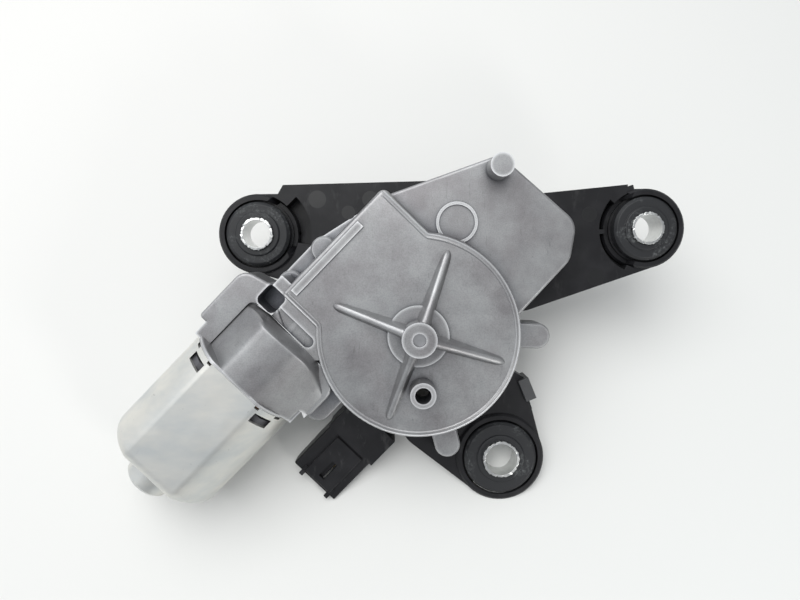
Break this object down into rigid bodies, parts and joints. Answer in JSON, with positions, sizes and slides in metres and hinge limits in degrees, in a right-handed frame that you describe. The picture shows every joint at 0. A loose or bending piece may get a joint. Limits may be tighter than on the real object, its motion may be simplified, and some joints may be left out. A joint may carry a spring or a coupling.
{
  "type": "rear wiper motor",
  "caption": "Rear wiper motor: cast worm gearbox and steel motor can on a moulded bracket with rubber-bushed eyes, and an oscillating output shaft.",
  "frame": {"origin": "axis of the output shaft, in the plane of the three sleeve ends that meet the body panel", "axes": "+X from the left eye to the right eye, +Z away from the panel towards the casting's roof; the output shaft points to -Z"},
  "size_m": [0.2336, 0.1457, 0.0925],
  "materials": {
    "cast_aluminium": "satin die casting",
    "zinc_steel": "bright zinc plate",
    "steel": "machined",
    "black_plastic": "satin, glass filled",
    "connector_plastic": "satin",
    "grey_plastic": "satin",
    "white_plastic": "satin",
    "rubber": "matt",
    "brass": "stamped",
    "bronze": "sintered",
    "copper": "enamelled",
    "carbon": "matt",
    "ferrite": "matt"
  },
  "bodies": {
    "frame": {"gearbox_housing": "cast_aluminium", "motor_can": "zinc_steel", "bracket_cover": "black_plastic", "connector_housing": "connector_plastic", "connector_terminals": "brass", "harness_clip": "grey_plastic", "cover_gasket": "rubber", "cover_screws": "zinc_steel", "wheel_axle": "steel", "axle_clip": "steel", "contact_fingers": "brass", "field_magnets": "ferrite", "brush_plate": "black_plastic", "carbon_brushes": "carbon", "brush_springs": "steel", "thrust_button": "white_plastic", "tail_bearing": "bronze", "front_bearing": "bronze", "rear_bearing": "bronze", "output_bush": "bronze", "upper_bush": "bronze", "tower_seal": "rubber", "grommet_left": "rubber", "grommet_right": "rubber", "grommet_lower": "rubber", "sleeve_left": "zinc_steel", "sleeve_right": "zinc_steel", "sleeve_lower": "zinc_steel"},
    "rotor": {"armature_shaft": "steel", "worm": "steel", "armature_core": "steel", "armature_windings": "copper", "commutator": "copper"},
    "wheel": {"worm_wheel": "white_plastic", "crank_pin": "steel", "contact_disc": "brass"},
    "lever": {"lever_lower": "steel", "lever_upper": "steel", "lever_pin": "steel"},
    "rod": {"sector_rod": "steel", "rod_bush": "bronze"},
    "output": {"output_shaft": "steel", "output_pinion": "steel", "shaft_washer": "steel", "shaft_circlip": "steel"}
  },
  "joints": [
    {"name": "output_swing", "type": "hinge", "parent": "frame", "child": "output", "pos_m": [0, 0, 0], "axis": [0, 0, 1], "range_deg": [0, 109.03]},
    {"name": "lever_swing", "type": "hinge", "parent": "frame", "child": "lever", "pos_m": [0, 0, 0.0115], "axis": [0, 0, 1], "range_deg": [-0.01, 35.91]},
    {"name": "sector_swing", "type": "hinge", "parent": "lever", "child": "rod", "pos_m": [0.02631, -0.01821, 0.0115], "axis": [0, 0, 1], "range_deg": [-24.39, 0.01]},
    {"name": "rotor_spin", "type": "hinge", "parent": "frame", "child": "rotor", "pos_m": [-0.04299, -0.01761, 0.024], "axis": [-0.7071, -0.7071, 0], "continuous": true},
    {"name": "wheel_spin", "type": "hinge", "parent": "frame", "child": "wheel", "pos_m": [-0.0164, -0.0442, 0.024], "axis": [0, 0, 1], "continuous": true}
  ],
  "couplings": [
    {"joint": "lever_swing", "follows": "output_swing", "ratio": 0.32926},
    {"joint": "sector_swing", "follows": "output_swing", "ratio": -0.22358},
    {"joint": "wheel_spin", "follows": "rotor_spin", "ratio": -0.016667}
  ]
}
